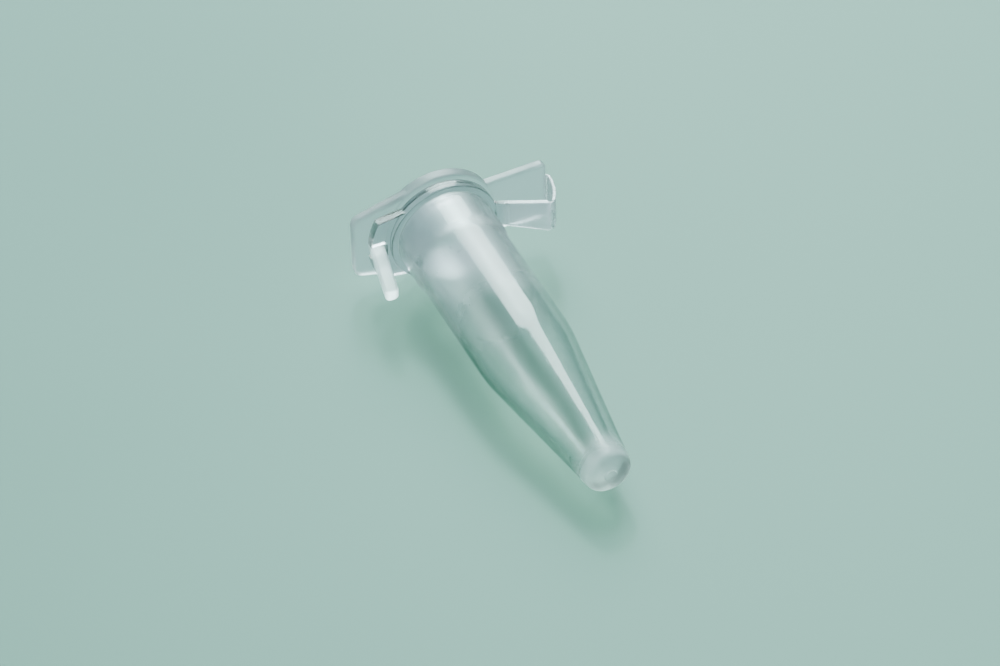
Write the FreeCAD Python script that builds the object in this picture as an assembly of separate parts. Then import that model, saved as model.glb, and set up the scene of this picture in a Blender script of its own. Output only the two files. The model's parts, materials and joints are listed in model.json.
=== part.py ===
import FreeCAD, Part
import math
import os

# A 0.5 ml microcentrifuge tube with its lid snapped shut, lying on its side.
#
# Every piece is drawn in the tube's own frame first, in millimetres:
#   z runs along the tube, 0 at the mouth, positive towards the lid, negative towards the tip;
#   x runs across the tube, positive towards the hinge, negative towards the thumb tab.
# The whole tube is then laid down on the lid's edge and the lower edge of its straight barrel.

# Tube wall
BODY_RADIUS = 3.9
BORE_RADIUS = 3.35
NECK_RADIUS = 4.08
NECK_LENGTH = 4.1
NECK_TAPER = 0.9
BREAK_DEPTH = 16.3
TIP_SPLIT_DEPTH = 28.3
TIP_DEPTH = 30.7
CONE_SLOPE = 0.146
BOWL_DEPTH = 28.8
BOWL_RADIUS = 1.45
BOWL_SAG = 1.0
TIP_ROUND = 0.9
GATE_RADIUS = 0.5
GATE_HEIGHT = 0.12

# Collar at the mouth, with its front wing and its hinge strap
COLLAR_RADIUS = 4.6
COLLAR_THICK = 1.0
COLLAR_ROUND = 0.2
MOUTH_CHAMFER = 0.25
WING_REACH = 6.3
WING_TOP = -0.05
WING_THICK = 0.8
WING_HALF_WIDTH = 2.4
NOTCH_HALF_WIDTH = 0.62
NOTCH_FLOOR = 4.95
COLLAR_STRAP_THICK = 0.5
COLLAR_STRAP_TOP = -0.3
COLLAR_STRAP_ROOT_HALF = 1.0
COLLAR_STRAP_END_HALF = 1.5

# Lid
LID_GAP = 0.05
LID_RADIUS = 4.9
LID_THICK = 1.1
LID_ROUND = 0.25
TAB_REACH = 7.35
TAB_HALF_WIDTH = 2.85
TAB_FLARE = math.radians(15)
TAB_ROOT = 2.2
TAB_CORNER = 0.9
PLATE_BOTTOM = 0.12
PLATE_THICK = 0.95
LID_STRAP_END = 9.4
LID_STRAP_ROOT_HALF = 2.4
LID_STRAP_END_HALF = 2.75
LID_STRAP_CORNER = 0.5
PANEL_RADIUS = 3.7
PANEL_HEIGHT = 0.1

# Sealing plug under the lid
PLUG_RADIUS = 3.2
PLUG_END_RADIUS = 2.95
PLUG_BORE_TOP = 2.35
PLUG_BORE_END = 2.5
PLUG_LENGTH = 3.5
PLUG_TAPER_FROM = 1.9
BEAD_RADIUS = 3.29
BEAD_DEPTH = 1.3
BEAD_HALF_HEIGHT = 0.35
BEAD_LAND = 0.15

# Latch finger that hangs from the thumb tab and sits in the wing's notch
FINGER_INNER = 4.95
FINGER_THICK = 1.15
FINGER_HALF_WIDTH = 0.5
FINGER_DEPTH = 5.95
FINGER_SPLAY = 1.19
FINGER_ROUND = 0.5

# Living hinge: a thin web between two creases, as (x, z)
LOWER_CREASE = (8.55, -2.85)
UPPER_CREASE = (9.6, 0.35)
WEB_THICK = 0.3
WEB_HALF_WIDTH = 1.5
CREASE_GAP = 0.05

# How the closed tube lies: the hinge is turned this far above the horizontal
HINGE_RISE = math.radians(2.5)

TINY = 1e-4
TURN = 360
ORIGIN = FreeCAD.Vector(0, 0, 0)
AXIS = FreeCAD.Vector(0, 0, 1)
SIDEWAYS = FreeCAD.Vector(0, 1, 0)


def vector(x, y, z):
    return FreeCAD.Vector(x, y, z)


def turned(points):
    """A solid of revolution about the tube's axis from (radius, height) corners."""
    corners = [vector(radius, 0, height) for radius, height in points]
    outline = Part.makePolygon(corners + corners[:1])
    return Part.Face(outline).revolve(ORIGIN, AXIS, TURN)


def round_rings(solid, radius, places):
    """Round the circular edges of a turned solid at the given (radius, height) places."""
    chosen = []
    for edge in solid.Edges:
        if not isinstance(edge.Curve, Part.Circle):
            continue
        for ring_radius, height in places:
            same_radius = abs(edge.Curve.Radius - ring_radius) < TINY
            same_height = abs(edge.Curve.Center.z - height) < TINY
            if same_radius and same_height:
                chosen.append(edge)
    return solid.makeFillet(radius, chosen)


def plate(points, bottom, thick):
    """A flat plate from (x, y) corners."""
    corners = [vector(x, y, bottom) for x, y in points]
    outline = Part.makePolygon(corners + corners[:1])
    return Part.Face(outline).extrude(vector(0, 0, thick))


def round_uprights(solid, radius, beyond):
    """Round the upright edges of a plate that stand further out than |x| = beyond."""
    chosen = []
    for edge in solid.Edges:
        first = edge.Vertexes[0].Point
        last = edge.Vertexes[-1].Point
        upright = abs(first.x - last.x) < TINY and abs(first.y - last.y) < TINY
        if upright and abs(first.x) > beyond:
            chosen.append(edge)
    return solid.makeFillet(radius, chosen)


def disc(radius, bottom, thick):
    return Part.makeCylinder(radius, thick, vector(0, 0, bottom))


def cone_radius(depth):
    return BODY_RADIUS - CONE_SLOPE * (depth - BREAK_DEPTH)


def bore_radius(depth):
    share = (depth - BREAK_DEPTH) / (BOWL_DEPTH - BREAK_DEPTH)
    return BORE_RADIUS + (BOWL_RADIUS - BORE_RADIUS) * share


def rim_collar():
    ring = turned([
        (BORE_RADIUS, -COLLAR_THICK),
        (COLLAR_RADIUS, -COLLAR_THICK),
        (COLLAR_RADIUS, 0),
        (BORE_RADIUS + MOUTH_CHAMFER, 0),
        (BORE_RADIUS, -MOUTH_CHAMFER),
    ])
    return round_rings(ring, COLLAR_ROUND, [(COLLAR_RADIUS, 0), (COLLAR_RADIUS, -COLLAR_THICK)])


def tube_neck():
    taper_end = NECK_LENGTH + NECK_TAPER
    return turned([
        (BORE_RADIUS, -COLLAR_THICK),
        (NECK_RADIUS, -COLLAR_THICK),
        (NECK_RADIUS, -NECK_LENGTH),
        (BODY_RADIUS, -taper_end),
        (BORE_RADIUS, -taper_end),
    ])


def tube_barrel():
    top = NECK_LENGTH + NECK_TAPER
    return turned([
        (BORE_RADIUS, -top),
        (BODY_RADIUS, -top),
        (BODY_RADIUS, -BREAK_DEPTH),
        (BORE_RADIUS, -BREAK_DEPTH),
    ])


def tube_cone():
    return turned([
        (BORE_RADIUS, -BREAK_DEPTH),
        (BODY_RADIUS, -BREAK_DEPTH),
        (cone_radius(TIP_SPLIT_DEPTH), -TIP_SPLIT_DEPTH),
        (bore_radius(TIP_SPLIT_DEPTH), -TIP_SPLIT_DEPTH),
    ])


def tube_tip():
    outside = turned([
        (0, -TIP_SPLIT_DEPTH),
        (cone_radius(TIP_SPLIT_DEPTH), -TIP_SPLIT_DEPTH),
        (cone_radius(TIP_DEPTH), -TIP_DEPTH),
        (0, -TIP_DEPTH),
    ])
    rounded = round_rings(outside, TIP_ROUND, [(cone_radius(TIP_DEPTH), -TIP_DEPTH)])
    inside = turned([
        (0, -TIP_SPLIT_DEPTH),
        (bore_radius(TIP_SPLIT_DEPTH), -TIP_SPLIT_DEPTH),
        (BOWL_RADIUS, -BOWL_DEPTH),
        (0, -BOWL_DEPTH),
    ])
    ball_radius = (BOWL_RADIUS ** 2 + BOWL_SAG ** 2) / (2 * BOWL_SAG)
    ball_height = -BOWL_DEPTH - BOWL_SAG + ball_radius
    ball = Part.makeSphere(ball_radius, vector(0, 0, ball_height))
    below = disc(NECK_RADIUS, -TIP_DEPTH, TIP_DEPTH - BOWL_DEPTH)
    return rounded.cut(inside).cut(ball.common(below))


def gate_mark():
    """The small raised disc that the moulding gate leaves under the tip."""
    return disc(GATE_RADIUS, -TIP_DEPTH - GATE_HEIGHT, GATE_HEIGHT)


def tab_outline(reach, half_width):
    """A flared tab, narrowest at its outer edge, that runs in under the round part."""
    root_half = half_width + (reach - TAB_ROOT) * math.tan(TAB_FLARE)
    return [(-reach, -half_width), (-reach, half_width), (-TAB_ROOT, root_half), (-TAB_ROOT, -root_half)]


def collar_wing():
    flare = plate(tab_outline(TAB_REACH, WING_HALF_WIDTH), WING_TOP - WING_THICK, WING_THICK)
    curved = flare.common(disc(WING_REACH, WING_TOP - WING_THICK, WING_THICK))
    outside = curved.cut(disc(COLLAR_RADIUS, -COLLAR_THICK, COLLAR_THICK))
    notch = Part.makeBox(
        TAB_REACH - NOTCH_FLOOR,
        2 * NOTCH_HALF_WIDTH,
        COLLAR_THICK,
        vector(-TAB_REACH, -NOTCH_HALF_WIDTH, -COLLAR_THICK),
    )
    return outside.cut(notch)


def strap_slope():
    """Drop of the collar's strap for each millimetre outwards."""
    middle = COLLAR_STRAP_TOP - COLLAR_STRAP_THICK / 2
    return (middle - LOWER_CREASE[1]) / (LOWER_CREASE[0] - COLLAR_RADIUS)


def collar_strap():
    end = LOWER_CREASE[0] - WEB_THICK / 2 - CREASE_GAP
    drop = strap_slope() * (end - BORE_RADIUS)
    top = COLLAR_STRAP_TOP + strap_slope() * (COLLAR_RADIUS - BORE_RADIUS)
    side = [
        vector(BORE_RADIUS, 0, top),
        vector(end, 0, top - drop),
        vector(end, 0, top - drop - COLLAR_STRAP_THICK),
        vector(BORE_RADIUS, 0, top - COLLAR_STRAP_THICK),
    ]
    wide = COLLAR_STRAP_END_HALF
    slab = Part.Face(Part.makePolygon(side + side[:1])).extrude(SIDEWAYS * 2 * wide)
    slab.translate(SIDEWAYS * -wide)
    root = COLLAR_STRAP_ROOT_HALF
    trapezoid = plate([(BORE_RADIUS, -root), (end, -wide), (end, wide), (BORE_RADIUS, root)],
                      -BREAK_DEPTH, 2 * BREAK_DEPTH)
    core = disc(COLLAR_RADIUS, -BREAK_DEPTH, 2 * BREAK_DEPTH)
    return slab.common(trapezoid).cut(core)


def hinge_web():
    """A thin curved web: straight down from the upper crease, bending in to the lower one."""
    across = UPPER_CREASE[0] - LOWER_CREASE[0]
    down = UPPER_CREASE[1] - LOWER_CREASE[1]
    half_turn = math.atan2(across, down)
    radius = math.hypot(across, down) / (2 * math.sin(half_turn))
    centre_x = UPPER_CREASE[0] - radius
    half = WEB_THICK / 2

    def on_arc(offset, angle):
        reach = radius + offset
        return vector(centre_x + reach * math.cos(angle), 0, UPPER_CREASE[1] - reach * math.sin(angle))

    def arc(offset):
        return Part.Arc(on_arc(offset, 0), on_arc(offset, half_turn), on_arc(offset, 2 * half_turn))

    upper_cap = Part.Arc(on_arc(half, 0), vector(UPPER_CREASE[0], 0, UPPER_CREASE[1] + half), on_arc(-half, 0))
    below = 2 * half_turn
    lower_middle = vector(
        LOWER_CREASE[0] - half * math.sin(below),
        0,
        LOWER_CREASE[1] - half * math.cos(below),
    )
    lower_cap = Part.Arc(on_arc(half, below), lower_middle, on_arc(-half, below))
    edges = [arc(half).toShape(), lower_cap.toShape(), arc(-half).toShape(), upper_cap.toShape()]
    outline = Part.Wire(Part.__sortEdges__(edges))
    web = Part.Face(outline).extrude(SIDEWAYS * 2 * WEB_HALF_WIDTH)
    web.translate(SIDEWAYS * -WEB_HALF_WIDTH)
    return web


def lid_disc():
    top = LID_GAP + LID_THICK
    plain = disc(LID_RADIUS, LID_GAP, LID_THICK)
    return round_rings(plain, LID_ROUND, [(LID_RADIUS, LID_GAP), (LID_RADIUS, top)])


def lid_tab():
    flare = plate(tab_outline(TAB_REACH, TAB_HALF_WIDTH), PLATE_BOTTOM, PLATE_THICK)
    rounded = round_uprights(flare, TAB_CORNER, TAB_REACH - TINY)
    return rounded.cut(lid_disc())


def lid_strap():
    root = LID_STRAP_ROOT_HALF
    wide = LID_STRAP_END_HALF
    bar = plate([(0, -root), (LID_STRAP_END, -wide), (LID_STRAP_END, wide), (0, root)], PLATE_BOTTOM, PLATE_THICK)
    rounded = round_uprights(bar, LID_STRAP_CORNER, LID_STRAP_END - TINY)
    return rounded.cut(lid_disc())


def writing_panel():
    """The raised matt disc on the lid that takes a marker pen."""
    return disc(PANEL_RADIUS, LID_GAP + LID_THICK, PANEL_HEIGHT)


def plug_sleeve():
    return turned([
        (PLUG_BORE_TOP, LID_GAP),
        (PLUG_RADIUS, LID_GAP),
        (PLUG_RADIUS, -PLUG_TAPER_FROM),
        (PLUG_END_RADIUS, -PLUG_LENGTH),
        (PLUG_BORE_END, -PLUG_LENGTH),
    ])


def sealing_bead():
    return turned([
        (PLUG_RADIUS, -BEAD_DEPTH + BEAD_HALF_HEIGHT),
        (BEAD_RADIUS, -BEAD_DEPTH + BEAD_LAND),
        (BEAD_RADIUS, -BEAD_DEPTH - BEAD_LAND),
        (PLUG_RADIUS, -BEAD_DEPTH - BEAD_HALF_HEIGHT),
    ])


def latch_finger():
    outer = FINGER_INNER + FINGER_THICK
    side = [
        vector(-FINGER_INNER, 0, PLATE_BOTTOM),
        vector(-outer, 0, PLATE_BOTTOM),
        vector(-outer - FINGER_SPLAY, 0, -FINGER_DEPTH),
        vector(-FINGER_INNER - FINGER_SPLAY, 0, -FINGER_DEPTH),
    ]
    blade = Part.Face(Part.makePolygon(side + side[:1])).extrude(SIDEWAYS * 2 * FINGER_HALF_WIDTH)
    blade.translate(SIDEWAYS * -FINGER_HALF_WIDTH)
    ends = []
    for edge in blade.Edges:
        across = abs(edge.Vertexes[0].Y - edge.Vertexes[-1].Y) > FINGER_HALF_WIDTH
        if across and edge.BoundBox.ZMax < -FINGER_DEPTH + TINY:
            ends.append(edge)
    return blade.makeFillet(FINGER_ROUND, ends).cut(lid_disc())


def rest_tilt():
    """The angle at which the lid's lower edge and the barrel's lower edge touch one flat surface."""
    lid_ring = (LID_GAP + LID_ROUND, LID_RADIUS - LID_ROUND)
    along = lid_ring[0] + BREAK_DEPTH
    across = lid_ring[1] - BODY_RADIUS
    lean = math.asin(LID_ROUND / math.hypot(along, across))
    return math.atan2(across, along) + lean


def laid_down(solids):
    """Turn the tube to its roll, lay it along X with the tip towards +X, and set it on Z = 0."""
    right_angle = math.pi / 2
    roll = FreeCAD.Rotation(AXIS, math.degrees(right_angle - HINGE_RISE))
    lay = FreeCAD.Rotation(SIDEWAYS, math.degrees(rest_tilt() - right_angle))
    turn = FreeCAD.Placement(ORIGIN, lay.multiply(roll))
    placed = {}
    for name, solid in solids.items():
        placed[name] = solid.transformed(turn.toMatrix())
    box = Part.makeCompound(list(placed.values())).optimalBoundingBox(False, False)
    shift = vector(-(box.XMin + box.XMax) / 2, -(box.YMin + box.YMax) / 2, -box.ZMin)
    for solid in placed.values():
        solid.translate(shift)
    return placed, turn, shift


PIECES = {
    "rim_collar": rim_collar,
    "tube_neck": tube_neck,
    "tube_barrel": tube_barrel,
    "tube_cone": tube_cone,
    "tube_tip": tube_tip,
    "gate_mark": gate_mark,
    "collar_wing": collar_wing,
    "collar_strap": collar_strap,
    "hinge_web": hinge_web,
    "lid_disc": lid_disc,
    "lid_tab": lid_tab,
    "lid_strap": lid_strap,
    "writing_panel": writing_panel,
    "plug_sleeve": plug_sleeve,
    "sealing_bead": sealing_bead,
    "latch_finger": latch_finger,
}

upright = {name: make() for name, make in PIECES.items()}
laid, turned_by, moved_by = laid_down(upright)
os.makedirs("parts", exist_ok=True)
for name, solid in laid.items():
    solid.exportStep("parts/" + name + ".step")
    print(name, "volume", round(solid.Volume, 2), "solids", len(solid.Solids), "valid", solid.isValid())
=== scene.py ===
import json
import math

import bmesh
import bpy
from mathutils import Matrix, Vector


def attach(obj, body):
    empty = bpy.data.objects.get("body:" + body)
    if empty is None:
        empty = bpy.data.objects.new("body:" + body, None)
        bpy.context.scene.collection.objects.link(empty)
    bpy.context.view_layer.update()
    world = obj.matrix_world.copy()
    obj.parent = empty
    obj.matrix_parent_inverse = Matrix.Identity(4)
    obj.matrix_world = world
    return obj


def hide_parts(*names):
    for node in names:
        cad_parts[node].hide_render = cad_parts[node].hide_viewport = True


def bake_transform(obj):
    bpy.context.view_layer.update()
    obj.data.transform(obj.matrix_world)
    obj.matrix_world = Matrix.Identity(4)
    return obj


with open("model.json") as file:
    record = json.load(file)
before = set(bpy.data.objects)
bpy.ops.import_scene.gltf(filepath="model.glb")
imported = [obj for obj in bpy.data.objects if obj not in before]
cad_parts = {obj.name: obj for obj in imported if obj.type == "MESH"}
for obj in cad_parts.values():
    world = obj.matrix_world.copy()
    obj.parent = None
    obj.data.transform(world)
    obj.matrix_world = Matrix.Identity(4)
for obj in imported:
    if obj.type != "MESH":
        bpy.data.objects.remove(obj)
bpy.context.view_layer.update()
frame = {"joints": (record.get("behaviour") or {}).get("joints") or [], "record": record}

# A 0.5 ml microcentrifuge tube, lid shut, lying on its side. It is one clear plastic moulding, so each
# rigid part of it is one seamless skin, and the living hinge is a web and two creases that bend.
#
# Shapes are drawn in millimetres in the tube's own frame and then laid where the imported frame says:
#   z along the tube, 0 at the mouth, positive towards the lid;
#   x across it, positive towards the hinge, negative towards the thumb tab.

MM = 0.001

# Tube
BODY_RADIUS = 3.9
BORE_RADIUS = 3.35
NECK_RADIUS = 4.08
NECK_DEPTH = 4.1
NECK_TAPER_END = 5.0
BREAK_DEPTH = 16.3
BREAK_ROUND = 16
TIP_DEPTH = 30.7
CONE_SLOPE = 0.146
BOWL_DEPTH = 28.8
BOWL_RADIUS = 1.45
BOWL_SAG = 1.0
BOWL_ROUND = 0.6
MOUTH_FLARE = 0.25
NECK_ROUND = 2.5
TIP_ROUND = 0.9
GATE_RADIUS = 0.5
GATE_HEIGHT = 0.12

# Collar, front wing and tube half of the hinge strap
COLLAR_RADIUS = 4.6
COLLAR_THICK = 1.0
COLLAR_ROUND = 0.22
WING_REACH = 6.3
WING_HALF_WIDTH = 2.4
WING_TOP = -0.05
WING_THICK = 0.8
WING_ROOT = 4.2
NOTCH_HALF_WIDTH = 0.62
NOTCH_FLOOR = 4.95
NOTCH_ROUND = 0.12
STRAP_ROOT = 4.2
STRAP_ROOT_HALF = 1.085
STRAP_END = 8.35
STRAP_END_HALF = 1.5
STRAP_TOP = -0.3
STRAP_THICK = 0.5
STRAP_CORNER = 0.25
STRAP_SOFTNESS = 0.1

# Lid
LID_GAP = 0.05
LID_RADIUS = 4.9
LID_THICK = 1.1
PANEL_RADIUS = 3.7
PANEL_HEIGHT = 0.1
TAB_REACH = 7.35
TAB_HALF_WIDTH = 2.85
TAB_FLARE = math.radians(15)
TAB_ROOT = 2.2
TAB_CORNER = 0.9
TAB_SOFTNESS = 0.32
PLATE_BOTTOM = 0.12
PLATE_THICK = 0.95
LID_STRAP_ROOT = 3.5
LID_STRAP_ROOT_HALF = 2.53
LID_STRAP_END = 9.4
LID_STRAP_END_HALF = 2.75
LID_STRAP_CORNER = 0.5
LID_STRAP_SOFTNESS = 0.3

# Plug and latch finger
PLUG_RADIUS = 3.2
PLUG_END_RADIUS = 2.95
PLUG_CEILING = 0.12
PLUG_BORE_TOP = 2.35
PLUG_BORE_END = 2.5
PLUG_LENGTH = 3.5
PLUG_TAPER_FROM = 1.9
BEAD_RADIUS = 3.29
BEAD_DEPTH = 1.3
BEAD_ROOT_HALF = 0.35
BEAD_CREST_HALF = 0.12
FINGER_INNER = 4.95
FINGER_THICK = 1.15
FINGER_ROUND = 0.55
FINGER_SOFTNESS = 0.22
FINGER_HALF_WIDTH = 0.5
FINGER_DEPTH = 5.95
FINGER_SPLAY = 1.19
FINGER_ROOT = 0.6

# Living hinge, as (x, z)
LOWER_CREASE = (8.55, -2.85)
UPPER_CREASE = (9.6, 0.35)
WEB_THICK = 0.27
WEB_HALF_WIDTH = 1.5
WEB_SOFTNESS = 0.08
FILM_THICK = 0.16
FILM_HALF_WIDTH = 1.42
FILM_SOFTNESS = 0.05
FILM_BEND = 0.35
FILM_LAP = 3

# Mesh fineness, in steps and millimetres
ROUND_STEPS = 7
TURN_STEPS = 160
ARC_STEPS = 16
ROOT_STEPS = 24
BOWL_STEPS = 12
WEB_STEPS = 20
LONGEST_RUN = 0.6
EDGE_SOFTNESS = 0.12
WELD = 0.004
TINY = 1e-6

# Where the plastic's look changes, as (low, high) heights along the tube
FROST_EDGE = (-14.2, -10.4)
FROST_WANDER = 0.7
TIP_HAZE_EDGE = (-30.3, -27.6)
TIP_MILK_EDGE = (-30.7, -27.4)
TIP_ROUGH_EDGE = (-30.4, -27.3)

# The radius of the wall's middle at the bowl and at the break, and where the strap is fully white
WALL_MIDDLE = (1.76, 3.62)
STRAP_WHITE = 5.6

# How strong each look is: haze, scatter, roughness and the strength of reflections
CLEAR_HAZE = 0.07
FROST_HAZE = 0.95
TIP_HAZE = 0.75
LID_HAZE = 0.5
TIP_MILK = 0.17
STRAP_MILK = 0.3
TIP_ROUGH = 0.17
FROST_SHINE = 0.6
BORE_SHINE = 0.1

# Colours
TUBE_TINT = (0.88, 0.905, 0.91, 1)
LID_TINT = (0.90, 0.87, 0.94, 1)
FROST_TINT = (0.74, 0.745, 0.79, 1)
# Painted shade: the dark green that the plastic's base colour is painted towards where it is seen edge on
PAINTED_EDGE_SHADE = (0.07, 0.19, 0.16, 1)
SHADOW_PALE = (0.93, 0.95, 0.93, 1)
SHADOW_DEEP = (0.30, 0.42, 0.36, 1)
# Painted light and shade on the floor: its colour runs from a darker side to a lighter side along the
# slope below, which points to the camera's right
FLOOR_PAINTED_SHADE = (0.067, 0.134, 0.110, 1)
FLOOR_PAINTED_LIGHT = (0.094, 0.169, 0.140, 1)
FLOOR_PAINTED_LIGHT_SLOPE = (0.42, 0.91, 0.0)
FLOOR_HALF = 1.5
WORLD_COLOUR = (0.17, 0.36, 0.32, 1)
DAYLIGHT = (0.78, 1.0, 1.0)
BLACK = (0, 0, 0, 1)
WHITE = (1, 1, 1, 1)

# Optics
CLEAR_IOR = 1.49
LID_IOR = 1.4

# Light and camera
WINDOW_SIDE = (-0.68, 0.24, 0.69)
FILL_SIDE = (0.8, -0.7, 0.9)
LIGHT_AIM = (0, 0, 0.004)
AZIMUTH = math.radians(65.08)
ELEVATION = math.radians(39.34)
DISTANCE = 0.30
VIEW_WIDTH = 0.07865
SENSOR = 36.0
CENTRE_DEPTH = -3.25
CENTRE_RIGHT = 3.36
CENTRE_DOWN = 6.52

record = frame["record"]
mounts = {mount["name"]: mount for mount in record["mounts"]}
joints = {joint["name"]: joint for joint in frame["joints"]}


# ---------------------------------------------------------------- the tube's own frame

LID_FACE = LID_GAP + LID_THICK + PANEL_HEIGHT
ALONG = Vector(mounts["lid_top"]["axis"]).normalized()
SIDEWAYS = Vector(joints["lid_crease"]["axis"]).normalized()
ACROSS = SIDEWAYS.cross(ALONG).normalized()
MOUTH = Vector(mounts["lid_top"]["pos_m"]) - ALONG * LID_FACE * MM
TURNED = Matrix((ACROSS, SIDEWAYS, ALONG)).transposed().to_4x4()
TO_ROW = Matrix.Translation(MOUTH) @ TURNED @ Matrix.Scale(MM, 4)


def in_row(x, y, z):
    """A point of the tube's own frame, in the row frame, in metres."""
    return TO_ROW @ Vector((x, y, z))


# ---------------------------------------------------------------- mesh helpers

def new_object(name, data):
    made = bpy.data.objects.new(name, data)
    bpy.context.scene.collection.objects.link(made)
    return made


def from_bmesh(name, bm):
    bmesh.ops.recalc_face_normals(bm, faces=bm.faces)
    mesh = bpy.data.meshes.new(name)
    bm.to_mesh(mesh)
    bm.free()
    return new_object(name, mesh)


def softened(corners):
    """Round each (u, v, radius) corner of an open outline with an arc that its two sides touch."""
    points = []
    for index, (u, v, radius) in enumerate(corners):
        here = Vector((u, v))
        if radius == 0 or index in (0, len(corners) - 1):
            points.append(here)
            continue
        before = Vector(corners[index - 1][:2]) - here
        after = Vector(corners[index + 1][:2]) - here
        half = before.angle(after) / 2
        reach = min(radius / math.tan(half), 0.49 * before.length, 0.49 * after.length)
        start = here + before.normalized() * reach
        end = here + after.normalized() * reach
        for step in range(ROUND_STEPS + 1):
            share = step / ROUND_STEPS
            points.append(start * (1 - share) ** 2 + here * 2 * share * (1 - share) + end * share ** 2)
    return points


def closed_outline(corners):
    """The same rounding for a closed outline."""
    ring = softened([corners[-1]] + list(corners) + [corners[0]])
    return ring[1:-1]


def split_long(points):
    """Add points on the long straight runs, so that a turned skin has even faces."""
    out = [points[0]]
    for point in points[1:]:
        run = point - out[-1]
        parts = max(1, math.ceil(run.length / LONGEST_RUN))
        start = out[-1]
        for part in range(1, parts + 1):
            out.append(start + run * (part / parts))
    return out


def turned(name, outline):
    """A closed skin made by turning an open (radius, height) outline whose ends are on the axis."""
    bm = bmesh.new()
    rings = []
    for point in outline:
        if point.x < TINY:
            rings.append([bm.verts.new((0, 0, point.y))])
            continue
        ring = []
        for step in range(TURN_STEPS):
            angle = 2 * math.pi * step / TURN_STEPS
            ring.append(bm.verts.new((point.x * math.cos(angle), point.x * math.sin(angle), point.y)))
        rings.append(ring)
    for first, second in zip(rings, rings[1:]):
        for step in range(TURN_STEPS):
            after = (step + 1) % TURN_STEPS
            if len(first) == 1:
                bm.faces.new((first[0], second[step], second[after]))
            elif len(second) == 1:
                bm.faces.new((first[step], second[0], first[after]))
            else:
                bm.faces.new((first[step], second[step], second[after], first[after]))
    return from_bmesh(name, bm)


def slab(name, outline, bottom, thick, soft=EDGE_SOFTNESS):
    """A plate of a closed (x, y) outline with softly rounded rims."""
    bm = bmesh.new()
    base = bm.faces.new([bm.verts.new((point.x, point.y, bottom)) for point in outline])
    grown = bmesh.ops.extrude_face_region(bm, geom=[base])
    risen = [item for item in grown["geom"] if isinstance(item, bmesh.types.BMVert)]
    bmesh.ops.translate(bm, verts=risen, vec=(0, 0, thick))
    rims = []
    for edge in bm.edges:
        low, high = edge.verts
        if abs(low.co.z - high.co.z) < TINY:
            rims.append(edge)
    bmesh.ops.bevel(bm, geom=rims, offset=soft, segments=4, profile=0.5, affect="EDGES",
                    clamp_overlap=True)
    return from_bmesh(name, bm)


def evaluated(piece):
    """The piece's mesh with its modifiers applied."""
    graph = bpy.context.evaluated_depsgraph_get()
    mesh = bpy.data.meshes.new_from_object(piece.evaluated_get(graph))
    mesh.name = piece.name
    piece.modifiers.clear()
    piece.data = mesh
    return mesh


def joined(base, *additions):
    """Weld closed skins into one closed skin and clear the slivers along the seams."""
    for addition in additions:
        weld = base.modifiers.new("weld", "BOOLEAN")
        weld.operation = "UNION"
        weld.solver = "EXACT"
        weld.object = addition
    mesh = evaluated(base)
    for addition in additions:
        bpy.data.objects.remove(addition)
    bm = bmesh.new()
    bm.from_mesh(mesh)
    bmesh.ops.remove_doubles(bm, verts=bm.verts, dist=WELD)
    bmesh.ops.dissolve_degenerate(bm, edges=bm.edges, dist=WELD)
    bm.to_mesh(mesh)
    bm.free()
    return base


def strip(name, path, thick, half_width, soft):
    """A thin strip of even thickness along an (x, z) path, rounded at its rims."""
    outline = []
    for side in (1, -1):
        steps = range(len(path)) if side > 0 else range(len(path) - 1, -1, -1)
        for index in steps:
            before = path[max(index - 1, 0)]
            after = path[min(index + 1, len(path) - 1)]
            run = (after - before).normalized()
            normal = Vector((-run.y, run.x))
            outline.append(path[index] + normal * side * thick / 2)
    piece = slab(name, outline, -half_width, 2 * half_width, soft)
    piece.data.transform(Matrix.Rotation(math.pi / 2, 4, "X"))
    return piece


def laid(piece, smooth_angle=35):
    """Put a finished piece in the row frame and smooth its shading, led by its largest faces."""
    piece.data.transform(TO_ROW)
    piece.data.shade_smooth()
    piece.data.set_sharp_from_angle(angle=math.radians(smooth_angle))
    shading = piece.modifiers.new("shading", "WEIGHTED_NORMAL")
    shading.keep_sharp = True
    evaluated(piece)
    return piece


# ---------------------------------------------------------------- the tube

def cone_radius(depth):
    return BODY_RADIUS - CONE_SLOPE * (depth - BREAK_DEPTH)


def bowl_points():
    """The rounded bottom of the bore, from the axis up to the wall."""
    ball = (BOWL_RADIUS ** 2 + BOWL_SAG ** 2) / (2 * BOWL_SAG)
    centre = -BOWL_DEPTH - BOWL_SAG + ball
    last = math.asin(BOWL_RADIUS / ball)
    angles = [last * step / BOWL_STEPS for step in range(BOWL_STEPS)]
    return [(ball * math.sin(angle), centre - ball * math.cos(angle), 0) for angle in angles]


def tube_outline():
    """The wall's section as (radius, height, rounding), up the bore, over the mouth and down again."""
    inside = bowl_points() + [
        (BOWL_RADIUS, -BOWL_DEPTH, BOWL_ROUND),
        (BORE_RADIUS, -BREAK_DEPTH, BREAK_ROUND),
        (BORE_RADIUS, -MOUTH_FLARE, 0.1),
        (BORE_RADIUS + MOUTH_FLARE, 0, 0.06),
    ]
    outside = [
        (COLLAR_RADIUS, 0, COLLAR_ROUND),
        (COLLAR_RADIUS, -COLLAR_THICK, COLLAR_ROUND),
        (NECK_RADIUS, -COLLAR_THICK, 0.14),
        (NECK_RADIUS, -NECK_DEPTH, NECK_ROUND),
        (BODY_RADIUS, -NECK_TAPER_END, NECK_ROUND),
        (BODY_RADIUS, -BREAK_DEPTH, BREAK_ROUND),
        (cone_radius(TIP_DEPTH), -TIP_DEPTH, TIP_ROUND),
        (GATE_RADIUS, -TIP_DEPTH, 0.08),
        (GATE_RADIUS, -TIP_DEPTH - GATE_HEIGHT, 0.05),
        (0, -TIP_DEPTH - GATE_HEIGHT, 0),
    ]
    return split_long(softened(inside + outside))


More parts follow.
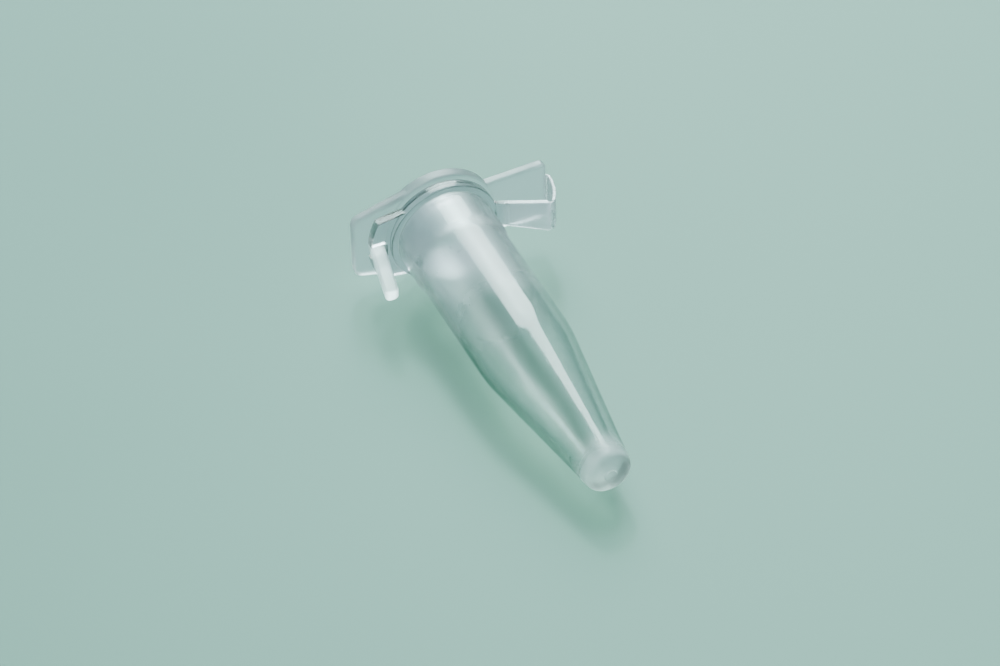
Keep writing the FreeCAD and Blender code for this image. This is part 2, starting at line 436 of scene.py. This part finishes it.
def wing_outline():
    """The collar's front wing: flared sides, a round outer edge with a notch for the latch finger."""
    offset = WING_HALF_WIDTH + TAB_REACH * math.tan(TAB_FLARE)

    def corner_angle(radius):
        """Angle from -x at which the flared side crosses a circle."""
        return math.pi / 2 - TAB_FLARE - math.acos(offset * math.cos(TAB_FLARE) / radius)

    def arc(radius, first, last, steps):
        angles = [first + (last - first) * step / steps for step in range(steps + 1)]
        return [(-radius * math.cos(angle), radius * math.sin(angle), 0) for angle in angles]

    outer = corner_angle(WING_REACH)
    notch = math.asin(NOTCH_HALF_WIDTH / WING_REACH)
    root = corner_angle(COLLAR_RADIUS - 0.02)
    points = arc(WING_REACH, -outer, -notch, ARC_STEPS)
    points += [(-NOTCH_FLOOR, side * NOTCH_HALF_WIDTH, NOTCH_ROUND) for side in (-1, 1)]
    points += arc(WING_REACH, notch, outer, ARC_STEPS)
    points += arc(WING_ROOT, root, -root, ROOT_STEPS)
    return closed_outline(points)


def collar_wing():
    return slab("wing_blank", wing_outline(), WING_TOP - WING_THICK, WING_THICK)


def strap_slope():
    """Drop of the collar's strap for each millimetre outwards."""
    middle = STRAP_TOP - STRAP_THICK / 2
    return (middle - LOWER_CREASE[1]) / (LOWER_CREASE[0] - COLLAR_RADIUS)


def strap_middle(x):
    """Height of the middle of the collar's strap."""
    return STRAP_TOP - STRAP_THICK / 2 - strap_slope() * (x - COLLAR_RADIUS)


def collar_strap():
    """The tube half of the hinge strap: it widens and droops as it runs out."""
    corners = [
        (STRAP_ROOT, -STRAP_ROOT_HALF, 0),
        (STRAP_END, -STRAP_END_HALF, STRAP_CORNER),
        (STRAP_END, STRAP_END_HALF, STRAP_CORNER),
        (STRAP_ROOT, STRAP_ROOT_HALF, 0),
    ]
    strap = slab("strap_blank", closed_outline(corners), STRAP_TOP - STRAP_THICK, STRAP_THICK,
                 STRAP_SOFTNESS)
    for vertex in strap.data.vertices:
        vertex.co.z -= strap_slope() * (vertex.co.x - COLLAR_RADIUS)
    return strap


def make_tube():
    wall = turned("tube_shell", tube_outline())
    return laid(joined(wall, collar_wing(), collar_strap()))


# ---------------------------------------------------------------- the lid

def lid_outline():
    """The lid's section as (radius, height, rounding): the hollow plug, its bead, the rim and the top."""
    ceiling = LID_GAP + PLUG_CEILING
    top = LID_GAP + LID_THICK
    corners = [
        (0, ceiling, 0),
        (PLUG_BORE_TOP, ceiling, 0.3),
        (PLUG_BORE_END, -PLUG_LENGTH, 0.12),
        (PLUG_END_RADIUS, -PLUG_LENGTH, 0.25),
        (PLUG_RADIUS, -PLUG_TAPER_FROM, 0.4),
        (PLUG_RADIUS, -BEAD_DEPTH - BEAD_ROOT_HALF, 0.1),
        (BEAD_RADIUS, -BEAD_DEPTH - BEAD_CREST_HALF, 0.15),
        (BEAD_RADIUS, -BEAD_DEPTH + BEAD_CREST_HALF, 0.15),
        (PLUG_RADIUS, -BEAD_DEPTH + BEAD_ROOT_HALF, 0.1),
        (PLUG_RADIUS, LID_GAP, 0.1),
        (LID_RADIUS, LID_GAP, 0.25),
        (LID_RADIUS, top, 0.3),
        (PANEL_RADIUS, top, 0.06),
        (PANEL_RADIUS, top + PANEL_HEIGHT, 0.08),
        (0, top + PANEL_HEIGHT, 0),
    ]
    return split_long(softened(corners))


def lid_tab():
    root = TAB_HALF_WIDTH + (TAB_REACH - TAB_ROOT) * math.tan(TAB_FLARE)
    corners = [
        (-TAB_REACH, -TAB_HALF_WIDTH, TAB_CORNER),
        (-TAB_REACH, TAB_HALF_WIDTH, TAB_CORNER),
        (-TAB_ROOT, root, 0),
        (-TAB_ROOT, -root, 0),
    ]
    return slab("tab_blank", closed_outline(corners), PLATE_BOTTOM, PLATE_THICK, TAB_SOFTNESS)


def lid_strap():
    corners = [
        (LID_STRAP_ROOT, -LID_STRAP_ROOT_HALF, 0),
        (LID_STRAP_END, -LID_STRAP_END_HALF, LID_STRAP_CORNER),
        (LID_STRAP_END, LID_STRAP_END_HALF, LID_STRAP_CORNER),
        (LID_STRAP_ROOT, LID_STRAP_ROOT_HALF, 0),
    ]
    return slab("lid_strap_blank", closed_outline(corners), PLATE_BOTTOM, PLATE_THICK,
                LID_STRAP_SOFTNESS)


def finger_lean(z):
    """How far the finger has splayed outwards at a height."""
    return FINGER_SPLAY * (PLATE_BOTTOM - z) / (PLATE_BOTTOM + FINGER_DEPTH)


def latch_finger():
    """A blade hanging from the tab, splayed outwards, with a rounded end."""
    outer = FINGER_INNER + FINGER_THICK
    corners = [
        (-FINGER_INNER - finger_lean(FINGER_ROOT), FINGER_ROOT, 0),
        (-outer - finger_lean(FINGER_ROOT), FINGER_ROOT, 0),
        (-outer - FINGER_SPLAY, -FINGER_DEPTH, FINGER_ROUND),
        (-FINGER_INNER - FINGER_SPLAY, -FINGER_DEPTH, FINGER_ROUND),
    ]
    outline = closed_outline(corners)
    blade = slab("finger_blank", outline, -FINGER_HALF_WIDTH, 2 * FINGER_HALF_WIDTH, FINGER_SOFTNESS)
    blade.data.transform(Matrix.Rotation(math.pi / 2, 4, "X"))
    return blade


def make_lid():
    plate = turned("lid_shell", lid_outline())
    return laid(joined(plate, lid_tab(), lid_strap(), latch_finger()))


# ---------------------------------------------------------------- the living hinge

def web_path():
    """The web's middle line as (x, z), from the upper crease down to the lower one."""
    across = UPPER_CREASE[0] - LOWER_CREASE[0]
    down = UPPER_CREASE[1] - LOWER_CREASE[1]
    half_turn = math.atan2(across, down)
    radius = math.hypot(across, down) / (2 * math.sin(half_turn))
    points = []
    for step in range(WEB_STEPS + 1):
        angle = 2 * half_turn * step / WEB_STEPS
        points.append(Vector((UPPER_CREASE[0] - radius * (1 - math.cos(angle)),
                              UPPER_CREASE[1] - radius * math.sin(angle))))
    return points


def make_web():
    inner = web_path()[1:-1]
    return laid(strip("hinge_web_shell", inner, WEB_THICK, WEB_HALF_WIDTH, WEB_SOFTNESS))


def make_upper_film():
    """The thin crease between the lid's strap and the web."""
    lap = web_path()[FILM_LAP]
    height = UPPER_CREASE[1] + 0.05
    bend = softened([(lap.x, lap.y, 0),
                     (UPPER_CREASE[0], height, FILM_BEND),
                     (LID_STRAP_END - 0.25, height, 0)])
    return laid(strip("upper_crease_film", bend, FILM_THICK, FILM_HALF_WIDTH, FILM_SOFTNESS))


def make_lower_film():
    """The thin crease between the web and the collar's strap."""
    lap = web_path()[-1 - FILM_LAP]
    root = LOWER_CREASE[0] - 0.45
    bend = softened([(lap.x, lap.y, 0),
                     (*LOWER_CREASE, FILM_BEND),
                     (root, strap_middle(root), 0)])
    return laid(strip("lower_crease_film", bend, FILM_THICK, FILM_HALF_WIDTH, FILM_SOFTNESS))


# ---------------------------------------------------------------- materials

class Nodes:
    """A short way to write a node tree."""

    def __init__(self, name):
        self.material = bpy.data.materials.new(name)
        self.material.use_nodes = True
        self.tree = self.material.node_tree
        self.tree.nodes.clear()

    def add(self, kind, settings=None, **inputs):
        node = self.tree.nodes.new(kind)
        for key, value in (settings or {}).items():
            setattr(node, key, value)
        for key, value in inputs.items():
            self.feed(node, key.replace("_", " "), value)
        return node

    def feed(self, node, key, value):
        socket = node.inputs[int(key)] if key.isdigit() else node.inputs[key]
        if isinstance(value, bpy.types.NodeSocket):
            self.tree.links.new(value, socket)
        else:
            socket.default_value = value

    def math(self, operation, first, second=0.0):
        node = self.add("ShaderNodeMath", {"operation": operation})
        self.feed(node, "0", first)
        self.feed(node, "1", second)
        return node.outputs[0]

    def ramp(self, value, low, high, out_low, out_high, kind="SMOOTHSTEP"):
        """A smooth step of value from low to high."""
        node = self.add("ShaderNodeMapRange", {"interpolation_type": kind})
        self.feed(node, "Value", value)
        self.feed(node, "From Min", low)
        self.feed(node, "From Max", high)
        self.feed(node, "To Min", out_low)
        self.feed(node, "To Max", out_high)
        return node.outputs["Result"]

    def noise(self, place, size_mm, detail=2.0, rough=0.5):
        node = self.add("ShaderNodeTexNoise", {"noise_dimensions": "3D"})
        self.feed(node, "Vector", place)
        self.feed(node, "Scale", 1 / (size_mm * MM))
        self.feed(node, "Detail", detail)
        self.feed(node, "Roughness", rough)
        return node.outputs["Fac"]

    def along(self, place, direction):
        """Distance of a place from the middle of the mouth along a direction, in millimetres."""
        dot = self.add("ShaderNodeVectorMath", {"operation": "DOT_PRODUCT"})
        self.feed(dot, "0", place)
        self.feed(dot, "1", direction / MM)
        return self.math("SUBTRACT", dot.outputs["Value"], direction.dot(MOUTH) / MM)

    def off_axis(self, place):
        """Distance of a place from the tube's axis, in millimetres."""
        across = self.along(place, ACROSS)
        aside = self.along(place, SIDEWAYS)
        across_squared = self.math("MULTIPLY", across, across)
        aside_squared = self.math("MULTIPLY", aside, aside)
        return self.math("SQRT", self.math("ADD", across_squared, aside_squared))

    def blend_colours(self, share, first, second):
        node = self.add("ShaderNodeMix", {"data_type": "RGBA"})
        self.feed(node, "Factor", share)
        self.feed(node, "6", first)
        self.feed(node, "7", second)
        return node.outputs[2]

    def bump(self, height, strength, distance_mm, below=None):
        node = self.add("ShaderNodeBump")
        self.feed(node, "Height", height)
        self.feed(node, "Strength", strength)
        self.feed(node, "Distance", distance_mm * MM)
        if below is not None:
            self.feed(node, "Normal", below)
        return node.outputs["Normal"]


def polypropylene(name, tint, ior, haze_of, milk_of, rough_of, shine_of):
    """Moulded polypropylene, clear or frosted as haze_of(nodes, place) says. The share of its light that
    scatters in the wall comes from milk_of(nodes, place, haze), its roughness from rough_of(nodes, place,
    haze) and the strength of its reflections from shine_of(nodes, place).

    Its base colour is painted darker, towards a dark green, where it is seen edge on: painted shade for
    the dark edges of clear plastic. Shadow rays pass straight through and lose most where they graze the
    wall, so the shadow has a pale middle."""
    n = Nodes(name)
    place = n.add("ShaderNodeTexCoord").outputs["Object"]
    patches = n.noise(place, 3.0, 3.0, 0.55)
    haze = n.math("MULTIPLY", haze_of(n, place), n.ramp(patches, 0.3, 0.7, 0.9, 1.08))
    streaks = n.noise(place, 1.1, 3.0, 0.6)
    rough = n.math("ADD", rough_of(n, place, haze), n.ramp(streaks, 0.45, 0.75, 0.0, 0.03))
    grain = n.noise(place, 0.09, 2.0, 0.6)
    wavy = n.bump(n.noise(place, 2.6, 1.0, 0.4), 0.04, 0.25)
    # Painted shade: facing and edge_on pick out where the plastic is seen edge on, and depth is how far
    # its base colour is painted towards the dark edge shade, less where it is hazy
    facing = n.add("ShaderNodeLayerWeight", Blend=0.5).outputs["Facing"]
    edge_on = n.ramp(facing, 0.3, 0.9, 0.0, 1.0)
    depth = n.math("MULTIPLY", edge_on, n.ramp(haze, 0.1, 0.8, 1.0, 0.3))
    body = n.add("ShaderNodeBsdfPrincipled")
    for key, value in {
        "Base Color": n.blend_colours(depth, n.blend_colours(haze, tint, FROST_TINT), PAINTED_EDGE_SHADE),
        "Roughness": rough,
        "IOR": ior,
        "Specular Tint": n.blend_colours(shine_of(n, place), BLACK, WHITE),
        "Transmission Weight": n.math("SUBTRACT", 1.0, milk_of(n, place, haze)),
        "Normal": n.bump(n.math("MULTIPLY", grain, haze), 0.12, 0.02, wavy),
    }.items():
        n.feed(body, key, value)
    lost = n.math("ADD", n.ramp(facing, 0.15, 1.0, 0.0, 0.85), n.math("MULTIPLY", haze, 0.08))
    shade = n.blend_colours(lost, SHADOW_PALE, SHADOW_DEEP)
    through = n.add("ShaderNodeBsdfTransparent", Color=shade)
    rays = n.add("ShaderNodeLightPath")
    mix = n.add("ShaderNodeMixShader", Fac=rays.outputs["Is Shadow Ray"])
    n.feed(mix, "1", body.outputs[0])
    n.feed(mix, "2", through.outputs[0])
    n.add("ShaderNodeOutputMaterial", Surface=mix.outputs[0])
    return n.material


def tube_haze(n, place):
    """Frosted from the collar to a little above the break, nearly clear in the cone, cloudy in the
    thick tip."""
    wander = n.ramp(n.noise(place, 2.2, 2.0, 0.5), 0.2, 0.8, -FROST_WANDER, FROST_WANDER)
    height = n.along(place, ALONG)
    frosted = n.ramp(n.math("ADD", height, wander), *FROST_EDGE, CLEAR_HAZE, FROST_HAZE)
    tip = n.ramp(height, *TIP_HAZE_EDGE, TIP_HAZE, 0.0)
    return n.math("MAXIMUM", frosted, tip)


def tube_milk(n, place, haze):
    """A trace of scatter in the wall, more in the thick tip, and whitened plastic in the drooping
    strap."""
    strap = n.ramp(n.along(place, ACROSS), COLLAR_RADIUS, STRAP_WHITE, 0.0, STRAP_MILK)
    tip = n.ramp(n.along(place, ALONG), *TIP_MILK_EDGE, TIP_MILK, 0.0)
    return n.math("ADD", n.math("ADD", strap, tip), n.ramp(haze, 0.0, 1.0, 0.001, 0.006))


def tube_inside(n, place):
    """1 on the bore's side of the wall, 0 on the outside."""
    middle = n.ramp(n.along(place, ALONG), -BOWL_DEPTH, -BREAK_DEPTH, *WALL_MIDDLE, "LINEAR")
    return n.math("LESS_THAN", n.off_axis(place), middle)


def tube_rough(n, place, haze):
    """The bore's surface is duller than the outside, so only the outside gives a crisp streak of light.
    The thick tip is the dullest."""
    inner = n.math("MULTIPLY", tube_inside(n, place), n.ramp(haze, 0.0, 1.0, 0.06, 0.12))
    tip = n.ramp(n.along(place, ALONG), *TIP_ROUGH_EDGE, TIP_ROUGH, 0.0)
    return n.math("ADD", n.math("ADD", n.ramp(haze, 0.0, 1.0, 0.08, 0.16), inner), tip)


def tube_shine(n, place):
    """Full on the outside of the clear cone, softer on the frosted barrel and faint in the bore."""
    outside = n.ramp(n.along(place, ALONG), *FROST_EDGE, 1.0, FROST_SHINE)
    return n.math("MULTIPLY", outside, n.ramp(tube_inside(n, place), 0.0, 1.0, 1.0, BORE_SHINE))


def lid_haze(n, place):
    """Even haze in the lid, and a matt panel on its top."""
    return n.ramp(n.along(place, ALONG), LID_FACE - 0.06, LID_FACE - 0.02, LID_HAZE, 1.0)


def lid_milk(n, place, haze):
    return n.ramp(haze, 0.0, 1.0, 0.012, 0.035)


def lid_rough(n, place, haze):
    return n.ramp(haze, 0.0, 1.0, 0.26, 0.44)


def even_shine(n, place):
    return n.ramp(n.noise(place, 2.0), 0.2, 0.8, 0.3, 0.5)


def hinge_haze(n, place):
    """The bent plastic whitens in patches."""
    return n.ramp(n.noise(place, 1.4), 0.3, 0.7, 0.4, 0.8)


def hinge_milk(n, place, haze):
    return n.ramp(haze, 0.0, 1.0, 0.15, 0.4)


def hinge_rough(n, place, haze):
    return n.ramp(haze, 0.0, 1.0, 0.1, 0.32)


def floor_material():
    n = Nodes("pale_green_card")
    place = n.add("ShaderNodeTexCoord").outputs["Object"]
    cloud = n.ramp(n.noise(place, 60.0, 2.0, 0.5), 0.3, 0.7, -6.0, 6.0)
    # Painted light and shade: the floor is painted darker towards the camera's left and lighter towards
    # its right, with a cloudy wandering edge; the tooth below is only a bump
    share = n.ramp(n.math("ADD", n.along(place, Vector(FLOOR_PAINTED_LIGHT_SLOPE)), cloud), -45.0, 30.0, 0.0, 1.0)
    tooth = n.noise(place, 0.35, 3.0, 0.6)
    body = n.add("ShaderNodeBsdfPrincipled", Roughness=0.6)
    n.feed(body, "Base Color", n.blend_colours(share, FLOOR_PAINTED_SHADE, FLOOR_PAINTED_LIGHT))
    n.feed(body, "Specular IOR Level", 0.15)
    n.feed(body, "Normal", n.bump(tooth, 0.06, 0.03))
    n.add("ShaderNodeOutputMaterial", Surface=body.outputs[0])
    return n.material


# ---------------------------------------------------------------- the object

def place_piece(piece, material, replaced=(), body=None):
    """Give a piece its plastic, hide the CAD nodes it stands for and attach it to the body it rides on.
    """
    piece.data.materials.clear()
    piece.data.materials.append(material)
    if body:
        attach(piece, body)
    if replaced:
        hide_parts(*replaced)
    return piece


tube_plastic = polypropylene("tube_polypropylene", TUBE_TINT, CLEAR_IOR,
                             tube_haze, tube_milk, tube_rough, tube_shine)
lid_plastic = polypropylene("lid_polypropylene", LID_TINT, LID_IOR,
                            lid_haze, lid_milk, lid_rough, even_shine)
hinge_plastic = polypropylene("hinge_polypropylene", TUBE_TINT, CLEAR_IOR,
                              hinge_haze, hinge_milk, hinge_rough, even_shine)

bodies = record["behaviour"]["bodies"]
place_piece(make_tube(), tube_plastic, bodies["tube"], "tube")
place_piece(make_lid(), lid_plastic, bodies["lid"], "lid")
place_piece(make_web(), hinge_plastic, bodies["web"], "web")
upper_film = place_piece(make_upper_film(), hinge_plastic)
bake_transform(upper_film)
lower_film = place_piece(make_lower_film(), hinge_plastic)
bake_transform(lower_film)


# ---------------------------------------------------------------- floor, light and camera

def make_floor():
    bm = bmesh.new()
    bmesh.ops.create_grid(bm, x_segments=8, y_segments=8, size=FLOOR_HALF)
    floor = from_bmesh("floor", bm)
    if floor.data.polygons[0].normal.z < 0:
        floor.data.flip_normals()
    floor.data.materials.append(floor_material())


def aim(thing, place, target):
    thing.location = place
    thing.rotation_mode = "QUATERNION"
    thing.rotation_quaternion = (Vector(target) - Vector(place)).to_track_quat("-Z", "Y")


def area_light(name, side, distance, size, power, unseen_by):
    """A soft light of (width, height) metres. Rays of the kinds in unseen_by don't see it."""
    data = bpy.data.lights.new(name, "AREA")
    data.shape = "RECTANGLE"
    data.size, data.size_y = size
    data.energy = power
    data.color = DAYLIGHT
    light = new_object(name, data)
    aim(light, Vector(side).normalized() * distance, LIGHT_AIM)
    for kind in unseen_by:
        setattr(light, "visible_" + kind, False)


def set_world():
    world = bpy.data.worlds.new("studio")
    bpy.context.scene.world = world
    world.use_nodes = True
    background = world.node_tree.nodes["Background"]
    background.inputs["Color"].default_value = WORLD_COLOUR
    background.inputs["Strength"].default_value = 1.0


def make_camera():
    back = Vector((
        math.sin(AZIMUTH) * math.cos(ELEVATION),
        -math.cos(AZIMUTH) * math.cos(ELEVATION),
        math.sin(ELEVATION),
    ))
    right = Vector((math.cos(AZIMUTH), math.sin(AZIMUTH), 0))
    up = back.cross(right)
    data = bpy.data.cameras.new("camera")
    data.sensor_width = SENSOR
    data.lens = SENSOR * DISTANCE / VIEW_WIDTH
    data.clip_start = 0.01
    data.clip_end = 10
    camera = new_object("camera", data)
    bpy.context.scene.camera = camera
    target = in_row(0, 0, CENTRE_DEPTH) + right * CENTRE_RIGHT * MM - up * CENTRE_DOWN * MM
    aim(camera, target + back * DISTANCE, target)


make_floor()
set_world()
area_light("back_window", WINDOW_SIDE, distance=1.2, size=(0.8, 1.1), power=66.0,
           unseen_by=("transmission",))
area_light("back_glint", WINDOW_SIDE, distance=1.15, size=(0.25, 0.5), power=8.0,
           unseen_by=("glossy", "diffuse"))
area_light("key", WINDOW_SIDE, distance=1.2, size=(0.16, 0.16), power=36.0,
           unseen_by=("glossy", "transmission"))
area_light("front_fill", FILL_SIDE, distance=1.6, size=(1.0, 1.0), power=9.0,
           unseen_by=("glossy", "transmission"))
make_camera()
